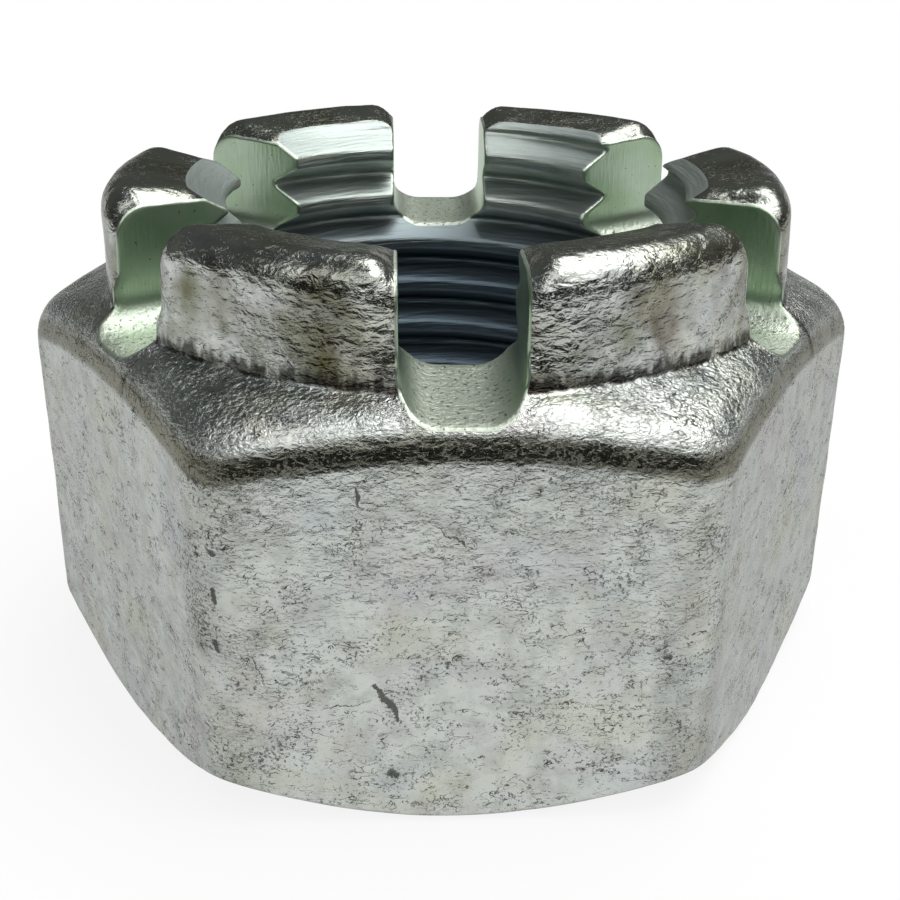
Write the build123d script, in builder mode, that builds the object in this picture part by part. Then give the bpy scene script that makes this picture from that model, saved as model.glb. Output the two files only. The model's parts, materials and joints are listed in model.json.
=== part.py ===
from build123d import *
import os
from math import cos, radians, tan

# Castle nut, M33 x 3.5 size: a hexagonal body with a round, domed crown, forged from one piece
# of steel, turned on its bearing face, sawn with six split-pin slots over the flats and bored
# for its thread. The thread itself is left out, so the bore is plain at the thread's minor diameter.
# Origin: centre of the bearing face. +Z runs along the bore, from the bearing face to the crown.
# Lengths are in millimetres and angles in degrees.

# Hexagonal body
across_flats = 50.0
hexagon_sides = 6
body_height = 27.25              # bearing face to the crown's root
rolled_edge_radius = 3.4         # uprights of the hexagon, and its arches under the shoulder
bearing_face_inset = 0.6         # flats to the flat ring that clamps the joint
base_chamfer_angle = 38.0        # rise of the chamfer from the bearing face to the corners
shoulder_angle = 23.0            # fall of the shoulder from the crown's root to the corners

# Crown
crown_height = 6.75              # crown's root to the edge of the bore's mouth
crown_inset = 2.15               # flats to the crown's root
crown_draft_angle = 1.2          # lean of the crown's wall
crown_rise_angle = 9.0           # rise of the crown's top from the bore's mouth to the rim
crown_rim_radius = 2.0           # rolled rim of the crown

# Split-pin slots, one over the middle of each flat
slot_width = 7.0
slot_depth = 7.95                # from the edge of the bore's mouth
slot_corner_radius = 2.2         # rounded corners of the slot's floor

# Threaded bore
thread_minor_diameter = 29.6
countersink_depth = 1.45         # at both mouths of the bore
countersink_angle = 120.0        # included angle

saw_clearance = 1.0              # tools run this far past the metal

half_flats = across_flats / 2
corner_distance = half_flats / cos(radians(180 / hexagon_sides))
mouth_height = body_height + crown_height
bore_radius = thread_minor_diameter / 2
mouth_radius = bore_radius + countersink_depth * tan(radians(countersink_angle / 2))
face_radius = half_flats - bearing_face_inset
crown_root_radius = half_flats - crown_inset
slot_floor = mouth_height - slot_depth

# The crown's wall leans in and its top rises until they meet in the rim, which is then rolled.
wall_lean = tan(radians(crown_draft_angle))
top_rise = tan(radians(crown_rise_angle))
lean_at_mouth = (crown_height - mouth_radius * top_rise) * wall_lean
rim_radius = (crown_root_radius - lean_at_mouth) / (1 + top_rise * wall_lean)
rim_height = mouth_height + (rim_radius - mouth_radius) * top_rise
saw_travel = rim_height + saw_clearance - slot_floor

# The turned outline runs out past the hexagon's corners.
blank_radius = corner_distance + saw_clearance
chamfer_top = (blank_radius - face_radius) * tan(radians(base_chamfer_angle))
shoulder_foot = body_height - (blank_radius - crown_root_radius) * tan(radians(shoulder_angle))


with BuildPart() as slot:
    # One slot, sawn from the axis out past the corners: square walls and a round-cornered floor.
    with BuildSketch(Plane.YZ) as slot_section:
        with Locations((0, slot_floor)):
            Rectangle(slot_width, saw_travel, align=(Align.CENTER, Align.MIN))
        floor_corners = slot_section.sketch_local.vertices().group_by(Axis.Y)[0]
        fillet(floor_corners, slot_corner_radius)
    extrude(amount=blank_radius)


with BuildPart() as castle_nut:
    # Hexagonal blank with a corner on +X, so that two flats face +Y and -Y.
    with BuildSketch() as hexagon:
        RegularPolygon(half_flats, hexagon_sides, major_radius=False)
    extrude(amount=rim_height)

    # Turned ring: bore with countersunk mouths, bearing face, base chamfer, shoulder and crown.
    with BuildSketch(Plane.YZ) as ring:
        with BuildLine():
            Polyline(
                (bore_radius, countersink_depth),
                (mouth_radius, 0),
                (face_radius, 0),
                (blank_radius, chamfer_top),
                (blank_radius, shoulder_foot),
                (crown_root_radius, body_height),
                (rim_radius, rim_height),
                (mouth_radius, mouth_height),
                (bore_radius, mouth_height - countersink_depth),
                close=True,
            )
        make_face()
        rim = ring.sketch_local.vertices().sort_by_distance((rim_radius, rim_height))[0]
        fillet(rim, crown_rim_radius)
    revolve(axis=Axis.Z, mode=Mode.INTERSECT)

    # The uprights, and the arches in which the flats meet the shoulder, are rolled soft.
    edges = castle_nut.edges()
    uprights = edges.filter_by(Axis.Z)
    arches = edges.filter_by(GeomType.CIRCLE, reverse=True).filter_by(GeomType.LINE, reverse=True)
    arches = arches.filter_by_position(Axis.Z, body_height / 2, body_height)
    fillet(uprights + arches, rolled_edge_radius)

    with PolarLocations(0, hexagon_sides, start_angle=180 / hexagon_sides):
        add(slot.part, mode=Mode.SUBTRACT)

castle_nut.part.label = "castle_nut"
os.makedirs("parts", exist_ok=True)
export_step(castle_nut.part, "parts/castle_nut.step")
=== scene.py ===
"""Castle nut, M33 x 3.5, forged in steel and plated in bright zinc.

The nut is one piece. One sixth of it, centred on a split-pin slot, is meshed from its turned
outline, and Geometry Nodes repeat that sixth, cut the thread and roughen the forged skin.
"""
import json
import logging
import math
from dataclasses import dataclass
from enum import IntEnum
from typing import Any, Callable, Iterable

import bpy
import numpy as np
from mathutils import Euler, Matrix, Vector


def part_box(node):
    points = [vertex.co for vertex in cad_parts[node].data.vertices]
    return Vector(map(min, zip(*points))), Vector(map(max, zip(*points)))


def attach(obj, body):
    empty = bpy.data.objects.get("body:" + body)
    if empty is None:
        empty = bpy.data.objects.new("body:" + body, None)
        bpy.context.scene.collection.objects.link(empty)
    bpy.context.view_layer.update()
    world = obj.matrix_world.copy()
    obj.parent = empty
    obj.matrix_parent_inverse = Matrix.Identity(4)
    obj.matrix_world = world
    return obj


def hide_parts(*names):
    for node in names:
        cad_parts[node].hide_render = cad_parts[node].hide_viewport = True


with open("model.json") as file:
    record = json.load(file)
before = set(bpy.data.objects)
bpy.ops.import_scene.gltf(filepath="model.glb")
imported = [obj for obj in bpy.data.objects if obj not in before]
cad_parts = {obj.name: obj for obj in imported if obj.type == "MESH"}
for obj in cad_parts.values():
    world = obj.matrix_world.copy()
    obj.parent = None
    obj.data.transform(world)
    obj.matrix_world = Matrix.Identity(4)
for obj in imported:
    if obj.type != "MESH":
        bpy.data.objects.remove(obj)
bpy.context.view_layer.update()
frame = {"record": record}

LOG = logging.getLogger("castle_nut")
MM = 0.001  # metres in a millimetre
NODE = "castle_nut"  # the solid that the plated nut stands for
CUT_STATION = 6.0  # station of the thread and of the slots' walls
SKIN_STATIONS = (0, 0.7, 1.3, 5.9, CUT_STATION)
SKIN_SHARES = (0, 0, 1, 1, 0)  # forged skin at those stations: none where a tool has cut
WELD_MM = 0.002  # vertices nearer than this become one
HEXAGON_SIDES = 6
WHITE = (1.0, 1.0, 1.0, 1.0)
NOISE = "ShaderNodeTexNoise"
RANGE = "ShaderNodeMapRange"
VECTOR = "ShaderNodeVectorMath"
Socket = bpy.types.NodeSocket
Add = Callable[..., Socket]


@dataclass(frozen=True)
class Wiring:
    """A shader or geometry tree that nodes are added to."""

    tree: bpy.types.NodeTree

    def add(self, kind: str, *values: Any, output: int | str = 0,
            stops: Iterable[tuple[float, tuple[float, ...]]] = (), **more: Any) -> Socket:
        """Add a node, with its settings and its inputs.

        Args:
            kind: The node's type name, or in capitals what a maths node does.
            values: Its first inputs in order, each a value, a socket to link from, or None.
            output: The output that is wanted, by name or index.
            stops: Positions and colours of a colour ramp's stops, two or more.
            more: Inputs by name, with a capital, and the node's own properties, without one.

        Returns:
            The output socket, or the first input where the node has no output.
        """
        if kind.isupper():
            kind, more["operation"] = "ShaderNodeMath", kind
        node = self.tree.nodes.new(kind)
        inputs = dict(enumerate(values))
        for name, value in more.items():
            if name[0].isupper():
                inputs[name.replace("_", " ")] = value
            else:
                setattr(node, name, value)
        for key, value in inputs.items():
            if isinstance(value, Socket):
                self.tree.links.new(value, node.inputs[key])
            elif value is not None:
                node.inputs[key].default_value = value
        for i, (position, colour) in enumerate(stops):
            marks = node.color_ramp.elements
            mark = marks.new(position) if i > 1 else marks[i]
            mark.position, mark.color = position, colour
        return node.outputs[output] if len(node.outputs) else node.inputs[0]


def wiring(block: bpy.types.Material | bpy.types.World) -> Add:
    """Clear a material's or world's nodes, and give what adds nodes to it.

    Args:
        block: The material or world.

    Returns:
        What adds a node to its tree.
    """
    block.use_nodes = True
    block.node_tree.nodes.clear()
    return Wiring(block.node_tree).add


def link(name: str, data: bpy.types.ID) -> bpy.types.Object:
    """Make an object and link it to the scene.

    Args:
        name: The object's name.
        data: Its mesh, light or camera.

    Returns:
        The object.
    """
    piece = bpy.data.objects.new(name, data)
    bpy.context.scene.collection.objects.link(piece)
    return piece


def linear(colour: str) -> tuple[float, float, float, float]:
    """Turn an sRGB hex colour, such as "#C9CCC7", into linear RGBA.

    Args:
        colour: The colour, with its hash sign.

    Returns:
        Red, green and blue as linear light, and an alpha of 1.
    """
    parts = [int(colour[i:i + 2], 16) / 255 for i in (1, 3, 5)]
    low = [c / 12.92 for c in parts]
    high = [((c + 0.055) / 1.055) ** 2.4 for c in parts]
    return (*[h if c > 0.04045 else l for c, l, h in zip(parts, low, high)], 1.0)


def smooth(value: np.ndarray) -> np.ndarray:
    """Ease a share from 0 to 1, flat at both ends."""
    share = np.clip(value, 0, 1)
    return share * share * (3 - 2 * share)


# --- Outline of the turned blank ---


@dataclass(frozen=True)
class Corner:
    """A corner of the turned outline, in the plane of radius and height.

    Attributes:
        radius: Distance from the axis, in mm, one for each column of the mesh.
        height: Height over the bearing face, in mm.
        rolled: Radius that the corner is rolled or broken to, 0 for a plain point.
        arc_steps: Mesh steps round the rolled corner.
        run_steps: Mesh steps from this corner to the next.
    """

    radius: np.ndarray | float
    height: np.ndarray | float
    rolled: float = 0.0
    arc_steps: int = 0
    run_steps: int = 1


@dataclass(frozen=True)
class Outline:
    """A rolled outline as rows of points.

    Attributes:
        points: Array of rows x columns x (radius, height), in mm.
        starts: Row at which each corner's arc starts.
        ends: Row at which each corner's arc ends.
    """

    points: np.ndarray
    starts: list[int]
    ends: list[int]


def roll_outline(corners: list[Corner], columns: int) -> Outline:
    """Join corners by straight runs and roll each corner to its radius.

    Args:
        corners: The outline's corners in order.
        columns: Number of mesh columns.

    Returns:
        The outline, with every row present in every column.
    """
    spots = [np.stack([np.broadcast_to(np.asarray(v, float), (columns,))
                       for v in (c.radius, c.height)], axis=-1) for c in corners]
    arcs = []
    for i, corner in enumerate(corners):
        if not corner.rolled:
            arcs.append([spots[i]])
            continue
        back, ahead = (spots[j] - spots[i] for j in (i - 1, i + 1))
        back = back / np.linalg.norm(back, axis=-1, keepdims=True)
        ahead = ahead / np.linalg.norm(ahead, axis=-1, keepdims=True)
        turn = np.pi - np.arccos(np.sum(back * ahead, axis=-1, keepdims=True))
        middle = back + ahead
        middle = middle / np.linalg.norm(middle, axis=-1, keepdims=True)
        centre = spots[i] + middle * corner.rolled / np.cos(turn / 2)
        reach = corner.rolled * np.tan(turn / 2)
        first, last = (spots[i] + way * reach - centre for way in (back, ahead))
        shares = [s / corner.arc_steps for s in range(corner.arc_steps + 1)]
        arcs.append([centre + (np.sin((1 - s) * turn) * first + np.sin(s * turn) * last)
                     / np.sin(turn) for s in shares])
    rows, starts, ends = [], [], []
    for i, corner in enumerate(corners):
        starts.append(len(rows))
        rows.extend(arcs[i])
        ends.append(len(rows) - 1)
        if i + 1 < len(corners):
            for s in range(1, corner.run_steps):
                share = s / corner.run_steps
                rows.append(arcs[i][-1] * (1 - share) + arcs[i + 1][0] * share)
    return Outline(np.array(rows), starts, ends)


# --- Finishes ---


class Finish(IntEnum):
    """The four ways in which the plated steel was shaped, as stored on the faces."""

    FORGED = 0
    SAWN = 1
    THREADED = 2
    TURNED = 3


def per_metre(size_mm: float) -> float:
    """Give the scale of a noise whose features have a size in mm."""
    return 1 / (size_mm * MM)


def patchy(add: Add, place: Socket, size_mm: float, spread: tuple[float, ...],
           **settings: Any) -> Socket:
    """Give a share that comes and goes in patches.

    Args:
        add: Adds a node to the tree.
        place: Object coordinates.
        size_mm: Size of the patches.
        spread: The noise's levels between which the share changes, then the shares there.
        settings: More of the noise's inputs; with W it is another pattern.

    Returns:
        The share.
    """
    if "W" in settings:
        settings["noise_dimensions"] = "4D"
    return add(RANGE, add(NOISE, place, Scale=per_metre(size_mm), **settings), *spread)


def layered(add: Add, base: str, layers: Iterable[tuple[Socket, str]]) -> Socket:
    """Lay colours over a base in order, each by its own share from 0 to 1.

    Args:
        add: Adds a node to the tree.
        base: The lowest colour.
        layers: Share and colour of each layer, from the lowest up.

    Returns:
        The colour that is seen.
    """
    colour = linear(base)
    for share, over in layers:
        colour = add("ShaderNodeMix", Factor=share, A=colour, B=linear(over),
                     data_type="RGBA", output="Result")
    return colour


@dataclass(frozen=True)
class Zone:
    """How rough, soiled and lumpy the forged skin is at one station of the outline, and how dim,
    where a high dimness is painted shade.
    """

    station: float
    grain: float
    soil: float
    dim: float
    lump: float


@dataclass(frozen=True)
class Scar:
    """A dent, pit or scratch in the forging, from one end to the other, in mm."""

    start: tuple[float, float, float]
    end: tuple[float, float, float]
    width: float


@dataclass(frozen=True)
class ForgedZinc:
    """Hot-forged steel, pickled and plated in bright zinc.

    The plate gives the eye a pale gloss. The forging breaks it up by grain and lumps, and
    holds dirt in its pits, laps and scars, so that no two flats look the same. Its colour
    also carries painted shade on the foot of the rolled arches and on the crown's top.

    Attributes:
        name: The material's name.
        zinc: Colour of the clean plate.
        cloud: Colour of the plate's duller clouds.
        tints: Faint passivation colours that lie over it in patches.
        dull: Colour of the plate where it is dull. The same colour is also the painted shade on
            the foot of the rolled arches and on the crown's top.
        soil: Colour of what sits in the pits and laps.
        rust: Colour of the seam at the crown's root.
        stains: Colours that stain the crown's wall.
        edge_tint: How much the film dims the plate's glancing gloss.
        roughness: Roughness of the clean plate.
        soiled_roughness: Roughness where it is soiled.
        soiled_metal: How metallic it is where it is soiled.
        cloud_mm: Size of the clouds, and so on for the tints, stains, rust, streaks of soot,
            grain, lumps, flecks, laps, clusters of flecks and laps, and stretches of scale.
        grain_squeeze: The grain runs level, this much longer than high.
        grain_depth_mm: Depth of the grain, and so on for lumps, soil and scars.
        lap_squeeze: The laps run level, this much longer than high.
        wall_band: The stained wall's middle station, and how far off the stains fade and end.
        seam_band: The same for the rusty seam at the wall's root.
        soot_heights: Foot and top of the sooty streaks up the crown's wall, in mm.
        scar_bend_mm: How far the scars stray from a straight line.
        bend_mm: Length of one such bend.
        scar_soil: How much of a scar the soil fills.
        upright_extra: Grain, soil and dimness that scale adds along the uprights.
        zones: What the skin is like from one station to the next.
        scars: The scars on the flats and uprights that are seen.
    """

    name: str = "forged_steel_bright_zinc"
    zinc: str = "#C8CDC8"
    cloud: str = "#989B93"
    tints: tuple[str, ...] = ("#AFBBC4", "#C2BE9F", "#BBB1BA")
    dull: str = "#7F7F72"
    soil: str = "#34322C"
    rust: str = "#30231C"
    stains: tuple[str, ...] = ("#5E5340", "#5A5A2E")
    edge_tint: str = "#D4D4D4"
    roughness: float = 0.24
    soiled_roughness: float = 0.6
    soiled_metal: float = 0.5
    cloud_mm: float = 1.7
    tint_mm: float = 5.0
    stain_mm: float = 4.0
    rust_mm: float = 1.6
    streak_mm: float = 0.5
    grain_mm: float = 0.34
    grain_squeeze: float = 1.7
    grain_depth_mm: float = 0.2
    lump_mm: float = 1.0
    lump_depth_mm: float = 0.3
    fleck_mm: float = 0.22
    lap_mm: float = 1.0
    lap_squeeze: float = 2.0
    cluster_mm: float = 3.5
    stretch_mm: float = 9.0
    wall_band: tuple[float, float, float] = (4.1, 0.2, 0.6)
    seam_band: tuple[float, float, float] = (3.6, 0.1, 0.45)
    soil_depth_mm: float = 0.03
    soot_heights: tuple[float, float] = (27.6, 29.4)
    scar_depth_mm: float = 0.22
    scar_bend_mm: float = 1.1
    bend_mm: float = 0.9
    scar_soil: float = 0.8
    upright_extra: tuple[float, float, float] = (0.35, 0.5, 0.4)
    # A zone's fourth value, its dimness, is painted shade on the foot of the rolled arches and on
    # the crown's top.
    zones: tuple[Zone, ...] = (
        Zone(0.0, 0.1, 0.7, 0.1, 0.2),  # bearing face
        Zone(1.0, 0.2, 0.9, 0.2, 0.3),  # base chamfer
        Zone(2.0, 0.22, 0.75, 0.0, 0.35),  # flats
        Zone(2.1, 0.12, 0.9, 0.95, 0.3),  # foot of the rolled arches, soiled and darkened with painted shade
        Zone(2.35, 0.12, 0.9, 0.95, 0.3),
        Zone(2.5, 0.7, 0.4, 0.0, 0.25),  # their top, rubbed bright
        Zone(3.0, 0.9, 0.35, 0.0, 0.3),  # shoulder
        Zone(4.0, 0.15, 0.3, 0.0, 0.6),  # crown's wall
        Zone(5.0, 0.1, 0.4, 0.65, 0.35),  # crown's top, darkened with painted shade
    )
    scars: tuple[Scar, ...] = (
        Scar((-5.0, -25.0, 10.1), (-3.5, -25.0, 7.6), 0.5),
        Scar((-8.8, -25.0, 8.3), (-5.2, -25.0, 9.0), 0.1),
        Scar((-12.3, -25.0, 12.9), (-11.2, -25.0, 9.7), 0.08),
        Scar((-1.8, -25.0, 20.5), (0.7, -25.0, 18.9), 0.1),
        Scar((2.0, -25.0, 19.9), (3.1, -25.0, 20.2), 0.12),
        Scar((-5.9, -25.0, 22.8), (-5.8, -25.0, 21.6), 0.4),
        Scar((-4.0, -25.0, 3.8), (-3.8, -25.0, 3.7), 0.6),
        Scar((-2.9, -24.8, 1.3), (-2.4, -24.8, 1.4), 0.4),
        Scar((-6.6, -24.8, 1.7), (-6.3, -24.8, 1.6), 0.3),
        Scar((11.8, -25.0, 11.7), (12.1, -25.0, 11.6), 0.3),
        Scar((-14.1, -24.6, 12.9), (-13.9, -24.7, 12.3), 0.35),
        Scar((-14.2, -24.6, 18.9), (-13.9, -24.7, 18.7), 0.3),
        Scar((-14.0, -24.6, 16.2), (-13.9, -24.7, 15.6), 0.4),
    )

    def material(self) -> bpy.types.Material:
        """Build the material.

        Returns:
            The material, with its nodes.
        """
        material = bpy.data.materials.new(self.name)
        add = wiring(material)
        place = add("ShaderNodeTexCoord", output="Object")
        *shares, lump, station = self.zone_values(add)
        upright = self.upright_scale(add, place)
        grain, soil, dim = (add("MULTIPLY_ADD", upright, extra, share)
                            for extra, share in zip(self.upright_extra, shares))
        scar = self.scar_mask(add, place)
        soil = add("MAXIMUM", self.soil_mask(add, place, soil),
                   add("MULTIPLY", scar, self.scar_soil))
        # The dim share lays the dull colour: painted shade on the rolled arches' foot and on the
        # crown's top, and dull scale along the uprights.
        colour = layered(add, self.zinc, [
            *self.tint_layers(add, place), (dim, self.dull),
            *self.stain_layers(add, place, station), (soil, self.soil)])
        rough = add(RANGE, soil, 0.0, 1.0, self.roughness, self.soiled_roughness)
        metal = add(RANGE, soil, 0.0, 1.0, 1.0, self.soiled_metal)
        relief = self.relief(add, place, (grain, lump, soil, scar))
        shader = add("ShaderNodeBsdfPrincipled", Base_Color=colour, Roughness=rough,
                     Metallic=metal, Specular_Tint=linear(self.edge_tint), Normal=relief)
        add("ShaderNodeOutputMaterial", shader)
        return material

    def zone_values(self, add: Add) -> tuple[Socket, ...]:
        """Read each zone's values off the station that the mesh carries.

        Args:
            add: Adds a node to the tree.

        Returns:
            Grain, soil, dimness (painted shade where it is high) and lumps from 0 to 1, and the
            station itself.
        """
        station = add("ShaderNodeAttribute", attribute_name="station", output="Fac")
        last = self.zones[-1].station
        ramp = add("ShaderNodeValToRGB", add("DIVIDE", station, last), stops=[
            (zone.station / last, (zone.grain, zone.soil, zone.dim, zone.lump))
            for zone in self.zones])
        parts = add("ShaderNodeSeparateColor", ramp).node.outputs
        return (*parts[:3], ramp.node.outputs["Alpha"], station)

    def upright_scale(self, add: Add, place: Socket) -> Socket:
        """Mark the rough scale that the forging keeps along stretches of its uprights.

        Args:
            add: Adds a node to the tree.
            place: Object coordinates.

        Returns:
            0 away from the uprights, 1 on scale.
        """
        parts = add("ShaderNodeSeparateXYZ", place).node.outputs
        angle = add("ARCTAN2", parts["Y"], parts["X"])
        corner = add("COSINE", add("MULTIPLY", angle, float(HEXAGON_SIDES)))
        corner = add(RANGE, corner, 0.8, 0.99, 0.0, 1.0)
        stretch = patchy(add, place, self.stretch_mm, (0.4, 0.6, 0.0, 1.0), W=31.0, Detail=3.0)
        return add("MULTIPLY", corner, stretch)

    def tint_layers(self, add: Add, place: Socket) -> list[tuple[Socket, str]]:
        """Cloud the zinc, and lay the passivation's faint colours over it in patches.

        Args:
            add: Adds a node to the tree.
            place: Object coordinates.

        Returns:
            Share and colour of each layer.
        """
        cloud = patchy(add, place, self.cloud_mm, (0.42, 0.7, 0.0, 0.7), Detail=6.0,
                       Roughness=0.68)
        return [(cloud, self.cloud)] + [
            (patchy(add, place, self.tint_mm, (0.5, 0.7, 0.0, 0.35), W=11.0 + i, Detail=3.0),
             tint) for i, tint in enumerate(self.tints)]

    def stain_layers(self, add: Add, place: Socket,
                     station: Socket) -> list[tuple[Socket, str]]:
        """Stain and soot the crown's wall, and rust the seam at its root.

        Args:
            add: Adds a node to the tree.
            place: Object coordinates.
            station: The station that the mesh carries.

        Returns:
            Share and colour of each layer.
        """
        wall, root = (
            add(RANGE, add("ABSOLUTE", add("SUBTRACT", station, middle)), near, far, 1.0, 0.0)
            for middle, near, far in (self.wall_band, self.seam_band))
        layers = [
            (patchy(add, place, self.stain_mm, (0.48, 0.7, 0.0, 0.85), W=21.0 + i, Detail=3.0),
             wall, stain) for i, stain in enumerate(self.stains)]
        height = add("ShaderNodeSeparateXYZ", place, output="Z")
        foot = add(RANGE, height, *[z * MM for z in self.soot_heights], 1.0, 0.0)
        upward = add(VECTOR, place, (1.0, 1.0, 0.3), operation="MULTIPLY")
        streak = add(NOISE, upward, Scale=per_metre(self.streak_mm), Detail=3.0)
        soot = add(RANGE, add("MULTIPLY", streak, foot), 0.3, 0.5, 0.0, 0.85)
        broken = patchy(add, place, self.rust_mm, (0.38, 0.55, 0.0, 0.9), Detail=2.0)
        layers += [(soot, wall, self.soil), (broken, root, self.rust)]
        return [(add("MULTIPLY", share, where), colour) for share, where, colour in layers]

    def scar_mask(self, add: Add, place: Socket) -> Socket:
        """Mark the scars, with crooked edges.

        Args:
            add: Adds a node to the tree.
            place: Object coordinates.

        Returns:
            0 away from the scars, 1 inside one.
        """
        bend = add(NOISE, place, Scale=per_metre(self.bend_mm), Detail=4.0, Roughness=0.65,
                   output="Color")
        bend = add(VECTOR, bend, (0.5, 0.5, 0.5), operation="SUBTRACT")
        reach = self.scar_bend_mm * MM
        bend = add(VECTOR, bend, (reach, 0.0, reach), operation="MULTIPLY")
        bent = add(VECTOR, place, bend, operation="ADD")
        total: Any = 0.0
        for scar in self.scars:
            start, end = (Vector(spot) * MM for spot in (scar.start, scar.end))
            run = end - start
            offset = add(VECTOR, bent, start, operation="SUBTRACT")
            along = add(VECTOR, offset, run / run.length_squared, operation="DOT_PRODUCT",
                        output="Value")
            along = add("ADD", along, 0.0, use_clamp=True)
            nearest = add(VECTOR, run, Scale=along, operation="SCALE")
            gap = add(VECTOR, offset, nearest, operation="DISTANCE", output="Value")
            # A scratch narrows to its ends, and a pit is as wide all along.
            half = scar.width * MM / 2
            from_middle = add("ABSOLUTE", add("SUBTRACT", along, 0.5))
            taper = half * 1.4 if run.length > scar.width * MM * 2 else 0.0
            width = add("MULTIPLY_ADD", from_middle, -taper, half)
            share = add(RANGE, add("DIVIDE", gap, width), 0.6, 1.2, 1.0, 0.0)
            total = add("MAXIMUM", total, share)
        return total

    def soil_mask(self, add: Add, place: Socket, amount: Socket) -> Socket:
        """Mark the dark flecks and the thin level laps.

        Args:
            add: Adds a node to the tree.
            place: Object coordinates.
            amount: Share of soil in this zone, from 0 to 1.

        Returns:
            0 on clean plate, 1 in a pit or lap.
        """
        cluster = patchy(add, place, self.cluster_mm, (0.3, 0.7, -0.12, 0.1), Detail=4.0,
                         Roughness=0.6)
        plenty = add("ADD", cluster, add(RANGE, amount, 0.0, 1.0, -0.08, 0.06))
        fleck = add(NOISE, place, Scale=per_metre(self.fleck_mm), Detail=2.0, Roughness=0.6)
        fleck = add(RANGE, add("ADD", fleck, plenty), 0.64, 0.78, 0.0, 0.8)
        level = add(VECTOR, place, (1.0, 1.0, self.lap_squeeze), operation="MULTIPLY")
        lap = add(NOISE, level, Scale=per_metre(self.lap_mm), Detail=3.0, Distortion=0.8)
        # A lap runs where its noise crosses the middle, and shows only here and there.
        lap = add("ABSOLUTE", add("SUBTRACT", lap, 0.5))
        lap = add(RANGE, lap, 0.004, 0.018, 1.0, 0.0)
        here = add(NOISE, level, W=5.0, Scale=per_metre(1.3), Detail=2.0, noise_dimensions="4D")
        here = add(RANGE, add("ADD", here, plenty), 0.5, 0.62, 0.0, 0.95)
        return add("MAXIMUM", fleck, add("MULTIPLY", lap, here))

    def relief(self, add: Add, place: Socket, shares: tuple[Socket, ...]) -> Socket:
        """Raise the pickled grain and the lumps, and sink the pits and scars.

        Args:
            add: Adds a node to the tree.
            place: Object coordinates.
            shares: How much grain and how many lumps there are, then the pits and the scars.

        Returns:
            The normal that the relief gives.
        """
        grain_share, lump_share, soil, scar = shares
        level = add(VECTOR, place, (1.0, 1.0, self.grain_squeeze), operation="MULTIPLY")
        grain = add(NOISE, level, Scale=per_metre(self.grain_mm), Detail=4.0, Roughness=0.55,
                    Distortion=0.6)
        uneven = patchy(add, place, 2.6, (0.35, 0.65, 0.35, 1.3), W=7.0, Detail=2.0)
        grain_share = add("MULTIPLY", grain_share, uneven)
        lump = add(NOISE, level, Scale=per_metre(self.lump_mm), Detail=3.0, Roughness=0.5,
                   Distortion=0.4)
        height: Any = 0.0
        for share, pattern, depth_mm in (
                (grain_share, grain, self.grain_depth_mm), (lump_share, lump, self.lump_depth_mm),
                (soil, -1.0, self.soil_depth_mm), (scar, -1.0, self.scar_depth_mm)):
            raised = add("MULTIPLY", share, pattern)
            height = add("MULTIPLY_ADD", raised, depth_mm * MM, height)
        return add("ShaderNodeBump", Height=height, Distance=1.0, Strength=1.0)


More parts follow.
